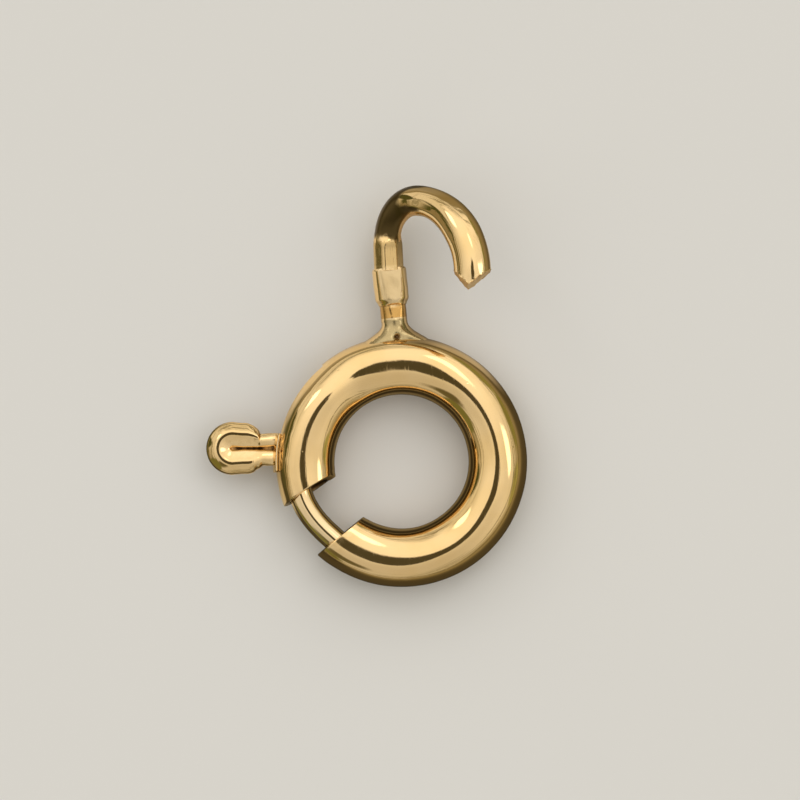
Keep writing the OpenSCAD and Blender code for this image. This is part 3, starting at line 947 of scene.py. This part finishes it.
spring_bm = bmesh.new()
swept(spring_bm, 8, [coil_station(s) for s in steps(0, 1, SPRING_TURNS * 20)],
      lambda share, turn: round_section(SPRING_WIRE / 2, turn))
closed_ends(spring_bm)
spring = finished(spring_bm, "coil_spring", [spring_metal], None, ["spring"], hard_edge=80)
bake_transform(spring, "ring", "slider", start=on_circle(RING_R * MM, 20), end=on_circle(RING_R * MM, 162.8))

# %% [markdown]
# ## Floor, light and camera
# Polished gold shows the room more than itself. The room is a soft tent of light with a dark opening
# straight above, where the camera looks in, and darker corners low down. It is painted as soft round
# patches of light and dark on the sky. The floor is pale, and the metal sees it darker than the eye
# does: the colour it mirrors is a painted reflection, dark with pale and olive patches, as a black
# card under the work would make it.

# %% Paint the room
def sky_direction(azimuth, elevation):
    up = math.radians(elevation)
    return direction(azimuth) * math.cos(up) + UP * math.sin(up)


ROOM = [
    # azimuth, elevation, radius, softness, brightness, colour
    (92, 42, 42, 26, 1.40, (1.0, 0.97, 0.91)),
    (150, 14, 22, 12, 0.95, (1.0, 0.97, 0.88)),
    (265, 36, 40, 20, 0.72, (1.0, 0.97, 0.90)),
    (8, 38, 8, 2, 2.6, (1.0, 0.98, 0.95)),
    (140, 34, 8, 2, 2.6, (1.0, 0.98, 0.95)),
    (62, 52, 8, 2.5, 2.5, (1.0, 0.98, 0.95)),
    (222, 6, 18, 2.0, 0.23, (0.96, 1.0, 0.30)),
    (238, 30, 12, 4, 0.16, (1.0, 0.90, 0.45)),
    (166, 1, 13, 2.0, 0.10, (0.92, 1.0, 0.30)),
    (183, -5, 11, 2.0, 0.10, (0.92, 1.0, 0.30)),
    (98, 2, 26, 10, 0.95, (1.0, 0.97, 0.90)),
    (350, 7, 11, 2.5, 0.45, (1.0, 1.0, 0.42)),
    (22, 4, 13, 2.5, 0.30, (1.0, 1.0, 0.34)),
    (48, 4, 12, 2.5, 0.34, (1.0, 1.0, 0.36)),
    (90, 85, 7, 1.5, 0.095, (1.0, 0.90, 0.55)),
    (270, 85, 7, 1.5, 0.095, (1.0, 0.90, 0.55)),
    (160, 85, 6, 1.5, 0.095, (1.0, 0.90, 0.55)),
    (330, 85, 6, 1.5, 0.095, (1.0, 0.90, 0.55)),
]


def paint_room(world):
    world.use_nodes = True
    nodes, links = world.node_tree.nodes, world.node_tree.links
    nodes.clear()
    coords = add(nodes, "ShaderNodeTexCoord")
    uneven = add(nodes, "ShaderNodeTexNoise", "uneven edges of the patches")
    uneven.inputs["Scale"].default_value = 3.2
    uneven.inputs["Detail"].default_value = 6
    uneven.inputs["Roughness"].default_value = 0.56
    centred = add(nodes, "ShaderNodeVectorMath", operation="SUBTRACT")
    centred.inputs[1].default_value = (0.5, 0.5, 0.5)
    shift = add(nodes, "ShaderNodeVectorMath", operation="MULTIPLY_ADD")
    shift.inputs[1].default_value = (0.16, 0.16, 0.16)
    turned = add(nodes, "ShaderNodeVectorMath", operation="NORMALIZE")
    links.new(coords.outputs["Generated"], uneven.inputs["Vector"])
    links.new(uneven.outputs["Color"], centred.inputs[0])
    links.new(centred.outputs["Vector"], shift.inputs[0])
    links.new(coords.outputs["Generated"], shift.inputs[2])
    links.new(shift.outputs["Vector"], turned.inputs[0])
    split = add(nodes, "ShaderNodeSeparateXYZ")
    links.new(turned.outputs["Vector"], split.inputs[0])
    ramp = add(nodes, "ShaderNodeValToRGB", "brightness by height")
    marks = [(0.0, (0.26, 0.22, 0.12)), (0.14, (0.56, 0.52, 0.40)), (0.34, (0.92, 0.89, 0.82)),
             (0.6, (1.0, 0.98, 0.94)), (1.0, (1.0, 0.98, 0.95))]
    while len(ramp.color_ramp.elements) < len(marks):
        ramp.color_ramp.elements.new(0.5)
    for stop, (position, color) in zip(ramp.color_ramp.elements, marks):
        stop.position = position
        stop.color = (*color, 1)
    links.new(split.outputs["Z"], ramp.inputs["Fac"])
    color = ramp.outputs["Color"]
    for azimuth, elevation, radius, softness, brightness, tint in ROOM:
        facing = add(nodes, "ShaderNodeVectorMath", operation="DOT_PRODUCT")
        facing.inputs[1].default_value = sky_direction(azimuth, elevation)
        links.new(turned.outputs["Vector"], facing.inputs[0])
        patch = add(nodes, "ShaderNodeMapRange", interpolation_type="SMOOTHSTEP")
        patch.inputs["From Min"].default_value = math.cos(math.radians(radius + softness))
        patch.inputs["From Max"].default_value = math.cos(math.radians(max(radius - softness, 0)))
        links.new(facing.outputs["Value"], patch.inputs["Value"])
        mix = add(nodes, "ShaderNodeMix", data_type="RGBA")
        links.new(patch.outputs["Result"], mix.inputs["Factor"])
        links.new(color, mix.inputs["A"])
        mix.inputs["B"].default_value = (*[brightness * c for c in tint], 1)
        color = mix.outputs["Result"]
    folds = add(nodes, "ShaderNodeVectorMath", "folds run level", operation="MULTIPLY")
    folds.inputs[1].default_value = (1.3, 1.3, 16)
    links.new(turned.outputs["Vector"], folds.inputs[0])
    fold = add(nodes, "ShaderNodeTexNoise")
    fold.inputs["Scale"].default_value = 1.0
    fold.inputs["Detail"].default_value = 2
    links.new(folds.outputs["Vector"], fold.inputs["Vector"])
    streak = add(nodes, "ShaderNodeMapRange", interpolation_type="SMOOTHSTEP")
    streak.inputs["From Min"].default_value = 0.52
    streak.inputs["From Max"].default_value = 0.60
    links.new(fold.outputs["Fac"], streak.inputs["Value"])
    low = add(nodes, "ShaderNodeMapRange", interpolation_type="SMOOTHSTEP")
    low.inputs["From Min"].default_value = 0.62
    low.inputs["From Max"].default_value = 0.34
    links.new(split.outputs["Z"], low.inputs["Value"])
    both = add(nodes, "ShaderNodeMath", operation="MULTIPLY")
    links.new(streak.outputs["Result"], both.inputs[0])
    links.new(low.outputs["Result"], both.inputs[1])
    half = add(nodes, "ShaderNodeMath", operation="MULTIPLY")
    half.inputs[1].default_value = 0.75
    links.new(both.outputs["Value"], half.inputs[0])
    folded = add(nodes, "ShaderNodeMix", data_type="RGBA")
    links.new(half.outputs["Value"], folded.inputs["Factor"])
    links.new(color, folded.inputs["A"])
    folded.inputs["B"].default_value = (0.20, 0.19, 0.09, 1)
    color = folded.outputs["Result"]
    background = add(nodes, "ShaderNodeBackground")
    background.inputs["Strength"].default_value = 0.95
    output = add(nodes, "ShaderNodeOutputWorld")
    links.new(color, background.inputs["Color"])
    links.new(background.outputs["Background"], output.inputs["Surface"])


scene = bpy.context.scene
scene.world = bpy.data.worlds.new("soft_room")
paint_room(scene.world)
print("patches of light and dark:", len(ROOM))

# %% Lay the floor
# Painted reflection: the floor's colour for glossy rays only, so the metal mirrors a dark card with pale and olive
# patches round the ring, while the eye sees the plain pale floor.
REFLECTED_FLOOR_FAR = (0.30, 0.26, 0.15, 1)
FLOOR_REFLECTION_PATCHES = [
    # azimuth, distance, radius and softness in mm, brightness, colour
    (0, 0, 8.5, 3.5, 0.085, (1.0, 0.84, 0.45)),
    (115, 11, 5.5, 2, 0.42, (1.0, 0.95, 0.80)),
    (215, 11, 6.0, 1.5, 0.05, (1.0, 0.84, 0.45)),
    (60, 4.7, 1.5, 0.9, 0.65, (1.0, 0.96, 0.88)),
    (112, 5.4, 2.3, 1.2, 0.90, (1.0, 0.96, 0.88)),
    (137, 5.6, 2.4, 1.2, 0.95, (1.0, 0.96, 0.88)),
    (172, 9.0, 4.0, 1.5, 0.09, (0.92, 1.0, 0.30)),
    (172, 3.6, 0.9, 0.4, 0.85, (1.0, 0.96, 0.85)),
    (193, 3.7, 0.9, 0.4, 0.75, (1.0, 0.94, 0.75)),
    (0, 0, 1.5, 0.4, 0.26, (1.0, 0.90, 0.60)),
    (0, 0, 0.7, 0.3, 0.04, (1.0, 0.84, 0.45)),
]
floor_finish = bpy.data.materials.new("pale_floor_painted_reflection")
floor_finish.use_nodes = True
floor_nodes, floor_links = floor_finish.node_tree.nodes, floor_finish.node_tree.links
floor_shader = floor_nodes["Principled BSDF"]
floor_shader.inputs["Roughness"].default_value = 0.8
floor_shader.inputs["Specular IOR Level"].default_value = 0.2
light_path = add(floor_nodes, "ShaderNodeLightPath")
floor_color = add(floor_nodes, "ShaderNodeMix", data_type="RGBA")
floor_color.inputs["A"].default_value = (0.72, 0.71, 0.69, 1)
floor_place = add(floor_nodes, "ShaderNodeTexCoord")
reflected_floor_color = None
for azimuth, distance, radius, softness, brightness, tint in FLOOR_REFLECTION_PATCHES:
    away = add(floor_nodes, "ShaderNodeVectorMath", operation="DISTANCE")
    away.inputs[1].default_value = direction(azimuth) * distance * MM + UP * -TUBE_R * MM
    floor_links.new(floor_place.outputs["Object"], away.inputs[0])
    patch = add(floor_nodes, "ShaderNodeMapRange", interpolation_type="SMOOTHSTEP")
    patch.inputs["From Min"].default_value = (radius + softness) * MM
    patch.inputs["From Max"].default_value = (radius - softness) * MM
    floor_links.new(away.outputs["Value"], patch.inputs["Value"])
    mix = add(floor_nodes, "ShaderNodeMix", data_type="RGBA")
    mix.inputs["A"].default_value = REFLECTED_FLOOR_FAR
    mix.inputs["B"].default_value = (*[brightness * c for c in tint], 1)
    floor_links.new(patch.outputs["Result"], mix.inputs["Factor"])
    if reflected_floor_color:
        floor_links.new(reflected_floor_color, mix.inputs["A"])
    reflected_floor_color = mix.outputs["Result"]
floor_links.new(reflected_floor_color, floor_color.inputs["B"])
# Only glossy rays see the painted reflection colour; all other rays see the pale floor.
floor_links.new(light_path.outputs["Is Glossy Ray"], floor_color.inputs["Factor"])
floor_links.new(floor_color.outputs["Result"], floor_shader.inputs["Base Color"])
floor_bm = bmesh.new()
bmesh.ops.create_grid(floor_bm, x_segments=1, y_segments=1, size=0.3)
bmesh.ops.translate(floor_bm, verts=floor_bm.verts, vec=(0, 0, -TUBE_R * MM))
floor_mesh = bpy.data.meshes.new("floor")
floor_bm.to_mesh(floor_mesh)
floor_bm.free()
floor_mesh.materials.append(floor_finish)
floor = bpy.data.objects.new("floor", floor_mesh)
scene.collection.objects.link(floor)

# %% Point the camera straight down
camera_data = bpy.data.cameras.new("camera")
camera_data.lens = 282.4
camera_data.sensor_width = 36
camera_data.clip_start = 0.001
camera = bpy.data.objects.new("camera", camera_data)
camera.location = (-0.0000359, 0.0014702, 0.15)
scene.collection.objects.link(camera)
scene.camera = camera
scene.view_settings.view_transform = "Standard"
print("camera", camera.location[2] * 1000, "mm above the ring")
